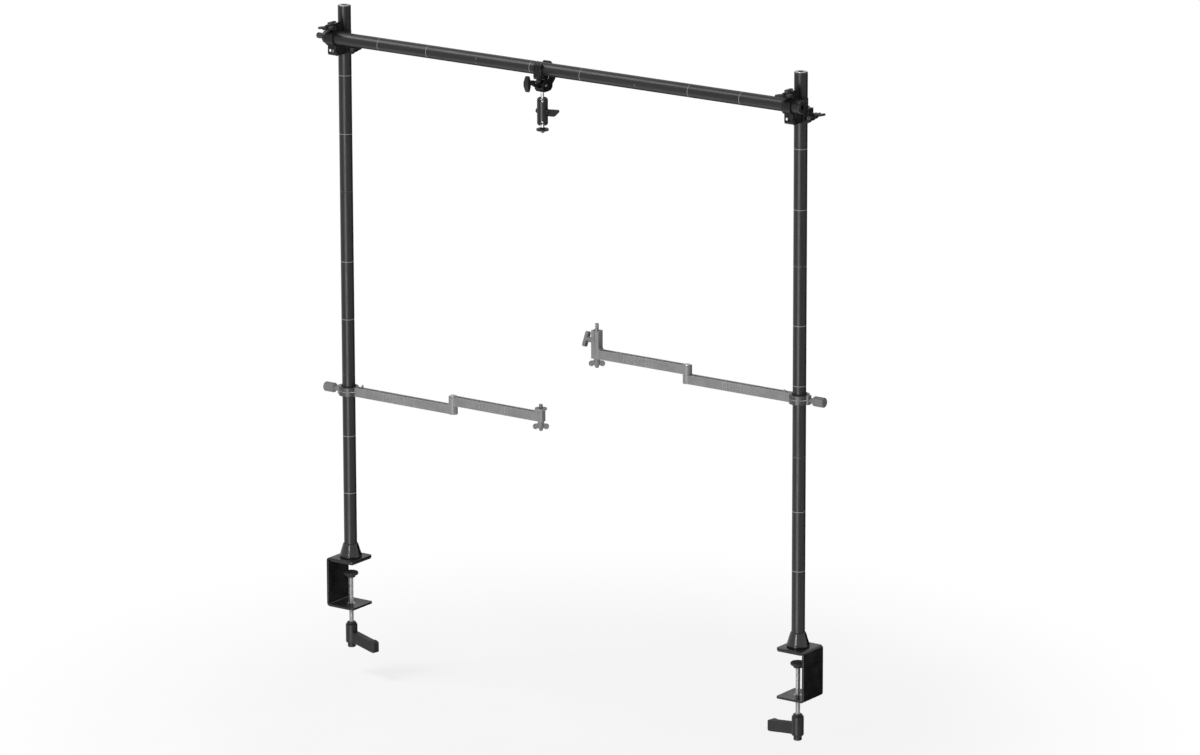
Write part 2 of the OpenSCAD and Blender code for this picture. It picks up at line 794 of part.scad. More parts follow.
// T-shaped knob on the screw that closes the crab clamp
module crab_knob() {
    face = -29;
    bar_half = 13.3;
    color(black) at_crab() translate([0, face, crab_screw_z]) rotate([90, 0, 0]) {
        cylinder(r = 4.2, h = 1.6);
        translate([0, 0, 1.6]) cylinder(r = 3.7, h = 8);
        translate([0, 0, -37]) cylinder(r = 2, h = 38);
        // Cross bar, thick in the middle and slim at both ends
        intersection() {
            along_x(-4.5, 4.5) polygon([
                [-bar_half, 10.6], [-5, 9.4], [5, 9.4], [bar_half, 10.6], [bar_half, 14],
                [8, 15.6], [2.5, 17.4], [-2.5, 17.4], [-8, 15.6], [-bar_half, 14]
            ]);
            linear_extrude(height = 40) polygon([
                [-3, -bar_half], [3, -bar_half], [4.5, -5], [4.5, 5],
                [3, bar_half], [-3, bar_half], [-4.5, 5], [-4.5, -5]
            ]);
            cylinder(r = bar_half - 0.1, h = 40);
        }
    }
}

// Moves children to the middle of the double ball arm's barrel
module at_barrel() {
    at_crab() translate([0, 0, barrel_z]) children();
}

// Ball on a neck that is screwed up into the clamp's hub
module upper_ball_stud() {
    color(silver) at_barrel() {
        translate([0, 0, ball_off]) sphere(r = ball_r);
        translate([0, 0, ball_off]) cylinder(r = neck_r, h = crab_bottom + 4.2 - barrel_z - ball_off);
    }
}

// Solid of the whole barrel before it is split in two
module barrel_solid() {
    half = barrel_len / 2;
    round_r = 4.5;
    open_r = 3.2;
    notch_r = 2.95;
    open_slope = tan(25);
    difference() {
        rotate_extrude() {
            square([barrel_r, half - round_r]);
            square([barrel_r - round_r, half]);
            translate([barrel_r - round_r, half - round_r]) intersection() {
                circle(r = round_r);
                square(round_r);
            }
            mirror([0, 1]) {
                square([barrel_r, half - round_r]);
                square([barrel_r - round_r, half]);
                translate([barrel_r - round_r, half - round_r]) intersection() {
                    circle(r = round_r);
                    square(round_r);
                }
            }
        }
        for (s = [0, 180]) rotate([s, 0, 0]) {
            translate([0, 0, ball_off]) sphere(r = ball_r + 0.06);
            translate([0, 0, ball_off])
                cylinder(r1 = open_r, r2 = open_r + 10 * open_slope, h = 10);
        }
        // Notch in the rim that shows the ball
        for (s = [0, 1]) mirror([0, 0, s]) rotate([0, 0, -55]) translate([0, 0, half - 8 + notch_r]) {
            box([4, -notch_r, 0], [20, notch_r, 12]);
            rod_x(notch_r, 4, 20);
        }
        cylinder(r = 5, h = 2 * ball_off - 8, center = true);
        rod_x(2.2, -20, 20);
    }
}

module arm_shell_left() {
    color(black) at_barrel() intersection() {
        barrel_solid();
        box([-20, -20, -40], [-0.2, 20, 40]);
    }
}

module arm_shell_right() {
    color(black) at_barrel() intersection() {
        barrel_solid();
        box([0.2, -20, -40], [20, 20, 40]);
    }
}

// Screw through the barrel with a flag-shaped thumb grip
module arm_thumbscrew() {
    color(black) at_barrel() {
        rod_x(2.1, -barrel_r - 0.6, barrel_r + 4);
        rod_x(5, barrel_r + 0.3, barrel_r + 4);
        translate([0, 2, 0]) rotate([90, 0, 0]) linear_extrude(height = 4)
            polygon([
                [barrel_r + 1, -6.6], [barrel_r + 14.8, -6], [barrel_r + 23.5, 2.2],
                [barrel_r + 23.5, 4.6], [barrel_r + 22, 6], [barrel_r + 1, 4.4]
            ]);
        rod_x(4, -barrel_r - 2.2, -barrel_r - 0.3);
    }
}

// Ball on a neck that ends in the camera screw
module lower_ball_stud() {
    color(silver) at_barrel() {
        translate([0, 0, -ball_off]) sphere(r = ball_r);
        translate([0, 0, -barrel_len / 2 - 3.6]) cylinder(r = neck_r, h = barrel_len / 2 + 3.6 - ball_off);
        translate([0, 0, -barrel_len / 2 - 8.8]) cylinder(r = thread_core_r, h = 5.4);
        translate([0, 0, -barrel_len / 2 - 11.8]) cylinder(r = quarter_inch_r, h = 3);
        translate([0, 0, -barrel_len / 2 - 12.3])
            cylinder(r1 = quarter_inch_r - 0.6, r2 = quarter_inch_r - 0.1, h = 0.5);
    }
}

// Knurled disc that locks the camera on the screw
module lock_disc() {
    notches = 24;
    disc_r = 10.1;
    color(black) at_barrel() translate([0, 0, -barrel_len / 2 - 8.6]) difference() {
        union() {
            cylinder(r = disc_r, h = 3.2);
            translate([0, 0, 3.2]) cylinder(r1 = 7.4, r2 = 5, h = 1.6);
        }
        translate([0, 0, -1]) cylinder(r = thread_core_r + 0.08, h = 8);
        for (i = [0 : notches - 1]) rotate([0, 0, i * 360 / notches])
            translate([disc_r + 0.3, 0, -1]) cylinder(r = 0.8, h = 8);
    }
}

// Split plastic sleeve that slides on the pole inside a collar
module collar_sleeve() {
    color(rubber_black) difference() {
        translate([0, 0, -8.6]) cylinder(r = sleeve_r, h = 17.2);
        translate([0, 0, -10]) cylinder(r = clamp_r, h = 20);
        box([-0.8, 0, -10], [0.8, 20, 10]);
    }
}

// Three pockets along the top of a link, from x0 on
module link_pockets(x0, pocket, last_end, top) {
    bridge = 3.5;
    count = floor((last_end - x0) / (pocket + bridge)) + 1;
    for (i = [0 : count - 1])
        let (a = x0 + i * (pocket + bridge), b = min(a + pocket, last_end))
            if (b > a + 4) box([a, -2.6, top - 1.6], [b, 2.6, top + 1]);
}

// Row of shallow upright grooves in one side of a link; side is -1 or 1
module link_grooves(x0, pitch, count, side, top) {
    for (i = [0 : count - 1])
        box([x0 + i * pitch, side * link_w / 2 - 0.8, top - link_h + 1.6],
            [x0 + i * pitch + 3.4, side * link_w / 2 + 0.8, top - 1.8]);
}

// Lower link along +X, with the collar ring at the pole and the elbow's lower knuckle
module lower_link() {
    h = link_h;
    color(arm_grey) difference() {
        union() {
            translate([0, 0, -h / 2]) cylinder(r = collar_r, h = h);
            box([0, -link_w / 2, -h / 2], [lower_link_len, link_w / 2, h / 2]);
            translate([lower_link_len, 0, -h / 2]) cylinder(r = elbow_r, h = h);
            box([-collar_r - 3, -5, -h / 2], [0, 5, h / 2]);
            // Cap screw of the collar's hinge
            translate([26, 4.2, 0]) cylinder(r = 1.7, h = h / 2 + 4);
        }
        translate([0, 0, -h]) cylinder(r = sleeve_r + collar_gap, h = 2 * h);
        translate([lower_link_len, 0, -h]) cylinder(r = elbow_pin_r, h = 2 * h);
        rod_x(3.1, -40, 0);
        // Parting line of the collar
        difference() {
            translate([0, 0, -0.5]) cylinder(r = collar_r + 8, h = 1);
            translate([0, 0, -1]) cylinder(r = collar_r - 1, h = 2);
            box([12, -10, -2], [60, 10, 2]);
            box([-60, -10, -2], [-12, 10, 2]);
        }
        link_pockets(20.5, 44.2, lower_link_len - elbow_r - 5, h / 2);
        for (side = [-1, 1]) link_grooves(77, 7.2, 10, side, h / 2);
    }
}

// Fluted thumb knob on the screw that tightens the collar, pointing along -X
module collar_knob() {
    flutes = 10;
    head_r = 8.2;
    head_from = 26;
    head_to = 49;
    color(arm_grey) rotate([0, -90, 0]) difference() {
        union() {
            translate([0, 0, sleeve_r + 0.4]) cylinder(r = 3, h = head_from - sleeve_r);
            translate([0, 0, collar_r + 3.3]) cylinder(r1 = 3.6, r2 = 4.4, h = head_from - collar_r - 3.3);
            translate([0, 0, head_from]) cylinder(r1 = 4.4, r2 = head_r, h = 4);
            translate([0, 0, head_from + 4]) cylinder(r = head_r, h = head_to - head_from - 5);
            translate([0, 0, head_to - 1]) cylinder(r1 = head_r, r2 = head_r - 1, h = 1);
        }
        for (i = [0 : flutes - 1]) rotate([0, 0, i * 360 / flutes])
            translate([head_r + 0.7, 0, head_from - 1]) cylinder(r = 1.5, h = 30);
    }
}

module elbow_pin() {
    h = link_h;
    color(silver) translate([lower_link_len, 0, 0]) {
        translate([0, 0, -h / 2 + 0.6]) cylinder(r = elbow_pin_r, h = 2 * h + stack_gap - 0.6);
        translate([0, 0, 1.5 * h + 2 * stack_gap]) {
            cylinder(r = 6, h = 0.8);
            translate([0, 0, 0.8]) cylinder(r1 = 6, r2 = 4, h = 1);
        }
        translate([0, 0, 1.5 * h]) cylinder(r = elbow_pin_r, h = 1);
    }
}

// Upper link along +X from the elbow, with its end post; the elbow is at the origin
module upper_link(post_h, post_w, seat) {
    h = link_h;
    low = h / 2 + stack_gap;
    end = upper_link_len;
    top = low + post_h;
    ball_z = top - seat_down;
    color(arm_grey) difference() {
        union() {
            translate([0, 0, low]) cylinder(r = elbow_r, h = h);
            box([0, -link_w / 2, low], [end, link_w / 2, low + h]);
            translate([0, 0, low]) linear_extrude(height = post_h)
                round_rect(end - post_w / 2, end + post_w / 2, -post_w / 2, post_w / 2, 3);
            // Fillet between the link's top and the post
            translate([end - post_w / 2 - 4, 0, low + h]) rotate([90, 0, 0])
                linear_extrude(height = link_w, center = true) difference() {
                    translate([0, -1]) square([5, 5]);
                    translate([0, 4]) circle(r = 4);
                }
            // Round platform of a post without a ball seat
            if (!seat) translate([end, 0, top]) cylinder(r = 10.2, h = 2.4);
        }
        translate([0, 0, low - 1]) cylinder(r = elbow_pin_r + 0.06, h = h + 2);
        link_pockets(10, 37.7, end - post_w / 2 - 6, low + h);
        link_grooves(59, 7.4, 8, -1, low + h);
        link_grooves(67, 7.4, 8, 1, low + h);
        if (seat) {
            translate([end, 0, ball_z]) sphere(r = phone_ball_r + 0.06);
            translate([end, 0, ball_z]) cylinder(r1 = 3.2, r2 = 7, h = 6);
            translate([end, 0, ball_z - 12.5]) rod_x(2.6, -6.4, 20);
            translate([end, 0, low - 1]) cylinder(r = 3.1, h = 20);
            box([end - 0.7, -20, top - 20], [end + 0.7, 20, top + 1]);
        } else {
            translate([end, 0, low - 1]) cylinder(r = thread_core_r + 0.08, h = post_h + 5);
        }
    }
}

// Wing screw whose wings hang under the post; its shaft stands shaft_h above them
module wing_screw(shaft_r, shaft_h) {
    wing_t = 3.4;
    color(arm_grey) {
        translate([0, 0, -9]) cylinder(r = 5.2, h = 9);
        translate([0, 0, -16]) cylinder(r1 = 2.6, r2 = 5.2, h = 7);
        cylinder(r = shaft_r, h = shaft_h);
        for (s = [0, 180]) rotate([0, 0, s + wing_screw_turn]) rotate([90, 0, 0])
            linear_extrude(height = wing_t, center = true) {
                polygon([[2, -3], [8, -4.4], [12.4, -11], [8, -13.2], [2, -10]]);
                translate([9, -8.8]) circle(r = 4.5);
            }
    }
}

// Children moved to the left arm, which points along +X
module at_left_arm() {
    translate([0, 0, left_arm_z]) children();
}

// Children moved to the right arm, which points along -X
module at_right_arm() {
    translate([span, 0, right_arm_z]) rotate([0, 0, 180]) children();
}

module left_collar_sleeve() {
    at_left_arm() collar_sleeve();
}

module right_collar_sleeve() {
    at_right_arm() collar_sleeve();
}

module left_lower_link() {
    at_left_arm() lower_link();
}

module right_lower_link() {
    at_right_arm() lower_link();
}

module left_collar_knob() {
    at_left_arm() collar_knob();
}

module right_collar_knob() {
    at_right_arm() collar_knob();
}

module left_elbow_pin() {
    at_left_arm() elbow_pin();
}

module right_elbow_pin() {
    at_right_arm() elbow_pin();
}

module left_upper_link() {
    at_left_arm() translate([lower_link_len, 0, 0]) upper_link(left_post_h, left_post_w, false);
}

module right_upper_link() {
    at_right_arm() translate([lower_link_len, 0, 0]) upper_link(right_post_h, right_post_w, true);
}

// Height of an upper link's underside above the collar's middle
upper_low = link_h / 2 + stack_gap;

module left_wing_screw() {
    at_left_arm() translate([lower_link_len + upper_link_len, 0, upper_low - 0.3]) {
        wing_screw(thread_core_r, left_post_h + 2.9);
        color(arm_grey) translate([0, 0, left_post_h + 2.9]) cylinder(r = quarter_inch_r, h = 6.1);
    }
}

module right_wing_screw() {
    at_right_arm() translate([lower_link_len + upper_link_len, 0, upper_low - 0.3])
        wing_screw(3, 18);
}

// Moves children to the centre of the ball seat in the right arm's post
module at_phone_ball() {
    at_right_arm() translate([lower_link_len + upper_link_len, 0, upper_low + right_post_h - seat_down])
        children();
}

// Small ball with a camera screw on top
module phone_ball_stud() {
    color(silver) at_phone_ball() {
        sphere(r = phone_ball_r);
        cylinder(r = 2.6, h = 7);
        translate([0, 0, 5.4]) cylinder(r = 3.4, h = 1.6);
        translate([0, 0, 6.9]) cylinder(r = thread_core_r, h = 1.2);
        translate([0, 0, 8]) cylinder(r = quarter_inch_r, h = 8.4);
        translate([0, 0, 16.4]) cylinder(r1 = quarter_inch_r - 0.1, r2 = quarter_inch_r - 0.6, h = 0.6);
    }
}

// Knob on the outer side of the post that locks the ball; its bar is turned off the vertical
module phone_ball_knob() {
    face = right_post_w / 2 + 0.3;
    bar_turn = 28;
    color(arm_grey) at_phone_ball() translate([0, 0, -12.5]) rotate([0, 90, 0]) {
        translate([0, 0, -6]) cylinder(r = 2.54, h = face + 8);
        translate([0, 0, face]) cylinder(r1 = 5, r2 = 4, h = 11);
        rotate([0, 0, bar_turn]) translate([0, 0, face + 10]) linear_extrude(height = 6)
            round_rect(-13, 13, -4, 4, 3.6);
    }
}

left_bracket();
right_bracket();
jaw_pads();
base_flanges();
base_bolts();
clamp_nuts();
pole_section(0, 0, left_rings);  // left_pole_lower
pole_section(0, 1, left_rings);  // left_pole_middle
pole_section(0, 2, left_rings);  // left_pole_upper
pole_section(span, 0, right_rings);  // right_pole_lower
pole_section(span, 1, right_rings);  // right_pole_middle
pole_section(span, 2, right_rings);  // right_pole_upper
pole_joiners();
pole_set_screws();
left_pressure_pad();
left_clamp_screw();
left_clamp_handle();
right_pressure_pad();
right_clamp_screw();
right_clamp_handle();
bar_section(0);  // bar_left
bar_section(1);  // bar_middle
bar_section(2);  // bar_right
bar_joiners();
left_corner_block();
right_corner_block();
corner_bolts();
corner_pins();
left_bar_strap();
left_pole_strap();
right_bar_strap();
right_pole_strap();
left_bar_nut();
left_pole_nut();
right_bar_nut();
right_pole_nut();
crab_body();
crab_jaw();
crab_pivot();
crab_knob();
upper_ball_stud();
arm_shell_left();
arm_shell_right();
arm_thumbscrew();
lower_ball_stud();
lock_disc();
left_collar_sleeve();
left_lower_link();
left_collar_knob();
left_elbow_pin();
left_upper_link();
left_wing_screw();
right_collar_sleeve();
right_lower_link();
right_collar_knob();
right_elbow_pin();
right_upper_link();
right_wing_screw();
phone_ball_stud();
phone_ball_knob();
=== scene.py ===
import math

import bpy
from mathutils import Matrix, Vector


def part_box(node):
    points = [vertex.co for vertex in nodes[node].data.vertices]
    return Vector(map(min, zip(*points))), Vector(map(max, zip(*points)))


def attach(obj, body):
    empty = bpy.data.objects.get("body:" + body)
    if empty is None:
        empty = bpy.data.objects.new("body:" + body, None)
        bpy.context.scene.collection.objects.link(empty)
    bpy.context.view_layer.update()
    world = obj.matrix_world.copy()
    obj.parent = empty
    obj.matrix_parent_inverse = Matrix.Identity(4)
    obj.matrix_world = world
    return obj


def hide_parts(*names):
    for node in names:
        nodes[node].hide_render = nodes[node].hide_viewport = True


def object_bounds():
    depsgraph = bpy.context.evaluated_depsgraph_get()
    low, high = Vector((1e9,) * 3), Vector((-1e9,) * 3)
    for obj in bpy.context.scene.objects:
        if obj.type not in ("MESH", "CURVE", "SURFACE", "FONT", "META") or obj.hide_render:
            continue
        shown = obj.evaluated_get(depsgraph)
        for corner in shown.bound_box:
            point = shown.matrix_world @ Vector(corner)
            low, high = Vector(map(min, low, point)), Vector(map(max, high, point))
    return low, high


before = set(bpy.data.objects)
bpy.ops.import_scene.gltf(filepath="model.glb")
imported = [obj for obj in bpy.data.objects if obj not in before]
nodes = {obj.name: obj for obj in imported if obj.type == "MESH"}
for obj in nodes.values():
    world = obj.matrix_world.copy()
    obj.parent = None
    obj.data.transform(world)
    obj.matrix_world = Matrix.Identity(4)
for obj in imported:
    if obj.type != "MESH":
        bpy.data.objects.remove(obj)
scene = bpy.context.scene
cad_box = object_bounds()

MM = 0.001
SPAN = 913 * MM
BAR_HEIGHT = 913 * MM
# The lights and cards stand around this point between the poles
MIDDLE = Vector((SPAN / 2, 0, 0.4))
WHITE = (1, 1, 1, 1)

# Places along each tube in mm: the ring marks, and the ends of the screwed sections
LEFT_RINGS = (119.4, 219.4, 423, 523, 743, 843)
RIGHT_RINGS = (134.5, 234.5, 445, 545, 736.6, 836.6)
BAR_RINGS = (101.2, 201.2, 410.9, 510.9, 723.5, 823.5)
POLE_JOINTS = (9, 326.5, 644, 961.5)
BAR_JOINTS = (-14, 303.5, 621, 938.5)

# Middle of each side arm's collar, X and Z in mm
LEFT_COLLAR = (0, 298)
RIGHT_COLLAR = (913, 423)
# The collar's surface is nearer to the pole's axis than this, the rest of the link farther
COLLAR_REACH = 17.6 * MM
# Direction, X and Y, that the collars' dyed side faces, and where that side starts
DYED_X, DYED_Y = 0.577, -0.817
DYED_FROM = 3 * MM


# Materials
class Graph:
    """Short names for building one material's nodes."""

    def __init__(self, name):
        self.mat = bpy.data.materials.new(name)
        self.mat.use_nodes = True
        self.tree = self.mat.node_tree
        self.tree.nodes.clear()
        self.out = self.tree.nodes.new("ShaderNodeOutputMaterial")
        self.bsdf = self.tree.nodes.new("ShaderNodeBsdfPrincipled")
        self.link(self.bsdf.outputs[0], self.out.inputs["Surface"])
        self.coord = self.tree.nodes.new("ShaderNodeTexCoord").outputs["Object"]
        self.axes = None

    def link(self, a, b):
        self.tree.links.new(a, b)

    def put(self, socket, value):
        if isinstance(value, bpy.types.NodeSocket):
            self.link(value, socket)
        else:
            socket.default_value = value

    def put_color(self, socket, color):
        self.put(socket, color if isinstance(color, bpy.types.NodeSocket) else (*color, 1))

    def math(self, op, a, b=0.0, c=0.0):
        n = self.tree.nodes.new("ShaderNodeMath")
        n.operation = op
        self.put(n.inputs[0], a)
        self.put(n.inputs[1], b)
        self.put(n.inputs[2], c)
        return n.outputs[0]

    def times(self, a, b):
        return self.math("MULTIPLY", a, b)

    def xyz(self, i):
        if self.axes is None:
            n = self.tree.nodes.new("ShaderNodeSeparateXYZ")
            self.link(self.coord, n.inputs[0])
            self.axes = n.outputs
        return self.axes[i]

    def noise(self, scale, detail=3.0, rough=0.55, stretch=None):
        n = self.tree.nodes.new("ShaderNodeTexNoise")
        n.inputs["Scale"].default_value = scale
        n.inputs["Detail"].default_value = detail
        n.inputs["Roughness"].default_value = rough
        source = self.coord
        if stretch:
            m = self.tree.nodes.new("ShaderNodeMapping")
            m.inputs["Scale"].default_value = stretch
            self.link(self.coord, m.inputs["Vector"])
            source = m.outputs[0]
        self.link(source, n.inputs["Vector"])
        return n.outputs["Fac"]

    def ramp(self, value, low, high, a, b):
        """a below low, b above high, smooth between."""
        n = self.tree.nodes.new("ShaderNodeMapRange")
        n.interpolation_type = "SMOOTHSTEP"
        self.put(n.inputs["Value"], value)
        for key, v in (("From Min", low), ("From Max", high), ("To Min", a), ("To Max", b)):
            n.inputs[key].default_value = v
        return n.outputs["Result"]

    def mix(self, fac, a, b):
        """Colour a where fac is 0, b where it is 1."""
        n = self.tree.nodes.new("ShaderNodeMix")
        n.data_type = "RGBA"
        self.put(n.inputs["Factor"], fac)
        self.put_color(n.inputs["A"], a)
        self.put_color(n.inputs["B"], b)
        return n.outputs["Result"]

    def bump(self, height, distance, strength=1.0, normal=None):
        n = self.tree.nodes.new("ShaderNodeBump")
        n.inputs["Strength"].default_value = strength
        n.inputs["Distance"].default_value = distance
        self.link(height, n.inputs["Height"])
        if normal is not None:
            self.link(normal, n.inputs["Normal"])
        return n.outputs["Normal"]

    def soft_edges(self, radius):
        """(rounded normal, mask that is 1 along sharp edges)"""
        n = self.tree.nodes.new("ShaderNodeBevel")
        n.samples = 6
        n.inputs["Radius"].default_value = radius
        flat = self.tree.nodes.new("ShaderNodeNewGeometry").outputs["Normal"]
        dot = self.tree.nodes.new("ShaderNodeVectorMath")
        dot.operation = "DOT_PRODUCT"
        self.link(n.outputs[0], dot.inputs[0])
        self.link(flat, dot.inputs[1])
        return n.outputs[0], self.ramp(dot.outputs["Value"], 0.80, 0.985, 1.0, 0.0)

    def near(self, value, places, half):
        """1 where value is within half of one of the places, which are in mm."""
        total = None
        for p in places:
            hit = self.math("COMPARE", value, p * MM, half)
            total = hit if total is None else self.math("MAXIMUM", total, hit)
        return total

    def finish(self, color, rough, normal=None, **fixed):
        """Fills the shader's sockets; fixed names more of them, with _ for each blank."""
        self.put_color(self.bsdf.inputs["Base Color"], color)
        self.put(self.bsdf.inputs["Roughness"], rough)
        if normal is not None:
            self.link(normal, self.bsdf.inputs["Normal"])
        for key, v in fixed.items():
            self.bsdf.inputs[key.replace("_", " ")].default_value = v
        return self.mat


def tube_paint(name, axis, rings, joints):
    """Satin black anodising with light ring marks; axis is the tube's, joints are its section ends."""
    g = Graph(name)
    along = g.xyz(axis)
    stretch = [260, 260, 260]
    stretch[axis] = 12
    grain = g.noise(1.0, 4, 0.6, stretch)
    cloud = g.noise(35, 3)
    base = g.mix(g.ramp(grain, 0.35, 0.7, 0, 1), (0.0105, 0.0105, 0.011), (0.0165, 0.0165, 0.017))
    worn = g.times(g.near(along, joints, 1.2 * MM), g.ramp(g.noise(420, 4), 0.45, 0.62, 0, 1))
    base = g.mix(g.times(worn, 0.55), base, (0.16, 0.16, 0.16))
    # A light mark in the middle of a groove, with painted shade darkening the groove around it
    base = g.mix(g.near(along, rings, 1.5 * MM), base, (0.003, 0.003, 0.003))
    base = g.mix(g.near(along, rings, 0.6 * MM), base, (0.2, 0.2, 0.2))
    rough = g.ramp(cloud, 0.3, 0.7, 0.31, 0.38)
    return g.finish(base, rough, g.bump(grain, 0.00002, 0.5), Specular_IOR_Level=0.24)


def cast_black(name, base=(0.0045, 0.0045, 0.0048), edge=(0.075, 0.075, 0.077), radius=0.6 * MM,
               rough=(0.3, 0.42), level=0.2):
    """Powder-coated casting: fine pebble, brighter edges, a little dust."""
    g = Graph(name)
    normal, edges = g.soft_edges(radius)
    pebble = g.noise(1500, 2, 0.5)
    cloud = g.noise(90, 4)
    color = g.mix(g.ramp(cloud, 0.35, 0.7, 0, 1), base, [v * 1.7 for v in base])
    wear = g.times(edges, g.ramp(g.noise(260, 4), 0.38, 0.62, 0.15, 0.9))
    color = g.mix(wear, color, edge)
    return g.finish(color, g.ramp(cloud, 0.3, 0.7, *rough), g.bump(pebble, 0.00005, 0.7, normal),
                    Specular_IOR_Level=level)


def gloss_paint(name, rough, level):
    """Glossy black paint with a little orange peel and worn edges."""
    g = Graph(name)
    normal, edges = g.soft_edges(0.9 * MM)
    peel = g.noise(420, 2, 0.4)
    cloud = g.noise(28, 4)
    color = g.mix(g.ramp(cloud, 0.35, 0.75, 0, 1), (0.0052, 0.0052, 0.0056), (0.0095, 0.0095, 0.010))
    wear = g.times(edges, g.ramp(g.noise(300, 5), 0.48, 0.66, 0.05, 0.8))
    color = g.mix(wear, color, (0.07, 0.07, 0.07))
    return g.finish(color, g.ramp(cloud, 0.3, 0.7, *rough), g.bump(peel, 0.00004, 0.55, normal),
                    Specular_IOR_Level=level)


BRIGHT_STEEL = (0.4, 0.405, 0.415)
BLACK_OXIDE = (0.035, 0.035, 0.037)


def steel(name, thread=None, color=BRIGHT_STEEL, metal=1.0, rough=(0.24, 0.38)):
    """Plated or blackened steel; thread is its axis, and its pitch, low and high end in mm.

    With None for both ends the whole length is threaded.
    """
    g = Graph(name)
    normal, _ = g.soft_edges(0.4 * MM)
    cloud = g.noise(120, 4)
    tint = g.mix(g.ramp(cloud, 0.35, 0.7, 0, 1), color, [v * 0.78 for v in color])
    out = g.bump(g.noise(900, 3), 0.00001, 0.6, normal)
    if thread:
        axis, pitch, low, high = thread
        along = g.xyz(axis)
        ridge = g.math("SINE", g.times(along, 2 * math.pi / (pitch * MM)))
        if low is not None:
            inside = g.times(g.math("GREATER_THAN", along, low * MM), g.math("LESS_THAN", along, high * MM))
            ridge = g.times(ridge, inside)
        # Painted shade: the thread's grooves are darkened to a small share of the steel's colour
        groove = g.ramp(ridge, -1.0, 0.2, 1, 0)
        if low is not None:
            groove = g.times(groove, inside)
        tint = g.mix(g.times(groove, 0.75), tint, [v * 0.15 for v in color])
        out = g.bump(ridge, 0.00025, 0.8, out)
    return g.finish(tint, g.ramp(cloud, 0.3, 0.7, *rough), out, Metallic=metal)


def plastic(name, base, light, radius=0.8 * MM, rough=(0.35, 0.45), level=0.24):
    """Moulded plastic with a fine spark-eroded texture."""
    g = Graph(name)
    normal, edges = g.soft_edges(radius)
    cloud = g.noise(60, 4)
    color = g.mix(g.ramp(cloud, 0.3, 0.75, 0, 1), base, light)
    color = g.mix(g.times(edges, 0.35), color, [v * 2.4 + 0.012 for v in light])
    texture = g.bump(g.noise(1900, 2), 0.00006, 0.8, normal)
    return g.finish(color, g.ramp(cloud, 0.3, 0.7, *rough), texture, Specular_IOR_Level=level)


def rubber():
    """Matt black rubber with a fine grain."""
    g = Graph("rubber")
    normal, _ = g.soft_edges(0.4 * MM)
    cloud = g.noise(160, 5)
    color = g.mix(g.ramp(cloud, 0.35, 0.7, 0, 1), (0.012, 0.012, 0.012), (0.024, 0.024, 0.023))
    texture = g.bump(g.noise(1300, 3), 0.00008, 0.8, normal)
    return g.finish(color, g.ramp(cloud, 0.3, 0.7, 0.72, 0.88), texture, Specular_IOR_Level=0.3)


def anodised_grey(name, collar=None):
    """Satin grey aluminium; collar is the X and Z in mm of a collar whose front is dyed black."""
    g = Graph(name)
    normal, edges = g.soft_edges(0.9 * MM)
    grain = g.noise(1.0, 4, 0.6, (30, 420, 420))
    cloud = g.noise(45, 3)
    color = g.mix(g.ramp(cloud, 0.3, 0.7, 0, 1), (0.123, 0.124, 0.126), (0.15, 0.151, 0.153))
    color = g.mix(g.times(edges, 0.85), color, (0.5, 0.5, 0.51))
    if collar:
        across = g.math("SUBTRACT", g.xyz(0), collar[0] * MM)
        depth = g.xyz(1)
        reach = g.math("SQRT", g.math("ADD", g.times(across, across), g.times(depth, depth)))
        on_collar = g.math("LESS_THAN", reach, COLLAR_REACH)
        front = g.math("ADD", g.times(across, DYED_X), g.times(depth, DYED_Y))
        dyed = g.times(on_collar, g.math("GREATER_THAN", front, DYED_FROM))
        mottle = g.ramp(g.noise(260, 4), 0.42, 0.6, 0, 1)
        color = g.mix(dyed, color, g.mix(mottle, (0.008, 0.008, 0.008), (0.035, 0.035, 0.036)))
        # Painted highlight: a light line round the collar's middle, where its parting line is
        parting_highlight = g.math("COMPARE", g.xyz(2), collar[1] * MM, 0.5 * MM)
        color = g.mix(g.times(parting_highlight, on_collar), color, (0.4, 0.4, 0.4))
    return g.finish(color, g.ramp(grain, 0.3, 0.7, 0.34, 0.46), g.bump(grain, 0.00003, 0.5, normal))


def dress(material, *names):
    """One material on whole CAD nodes."""
    for n in names:
        mesh = nodes[n].data
        mesh.materials.clear()
        mesh.materials.append(material)


def dress_part(name, main, other, inside):
    """Main material on a CAD node, and the other one on the faces whose middle is inside."""
    dress(main, name)
    mesh = nodes[name].data
    mesh.materials.append(other)
    for face in mesh.polygons:
        face.material_index = 1 if inside(face.center) else 0


# Tubes
for side, rings in (("left", LEFT_RINGS), ("right", RIGHT_RINGS)):
    paint = tube_paint(f"tube_{side}_pole", 2, rings, POLE_JOINTS)
    dress(paint, f"{side}_pole_lower", f"{side}_pole_middle", f"{side}_pole_upper")
dress(tube_paint("tube_crossbar", 0, BAR_RINGS, BAR_JOINTS), "bar_left", "bar_middle", "bar_right")

# Clamps, couplers and ball arm
dress(gloss_paint("bracket_paint", (0.22, 0.32), 0.34), "left_bracket", "right_bracket")
dress(gloss_paint("flange_paint", (0.14, 0.2), 0.5), "base_flanges")
dress(cast_black("cast_coupler"), "left_corner_block", "right_corner_block", "left_bar_strap",
      "right_bar_strap", "left_pole_strap", "right_pole_strap")
dress(cast_black("cast_crab", rough=(0.26, 0.36)), "crab_body", "crab_jaw")
dress(cast_black("cast_wing_nut", radius=0.9 * MM, rough=(0.28, 0.4)), "left_bar_nut", "left_pole_nut",
      "right_bar_nut", "right_pole_nut")
dress(cast_black("anodised_barrel", (0.006, 0.006, 0.0063), (0.04, 0.04, 0.04), 0.5 * MM, (0.26, 0.34), 0.26),
      "arm_shell_left", "arm_shell_right")
BLACK_PLASTIC = ((0.0055, 0.0055, 0.006), (0.009, 0.009, 0.0094))
dress(plastic("handle_plastic", *BLACK_PLASTIC, radius=1.4 * MM), "left_clamp_handle", "right_clamp_handle")
knob = plastic("knob_plastic", *BLACK_PLASTIC)
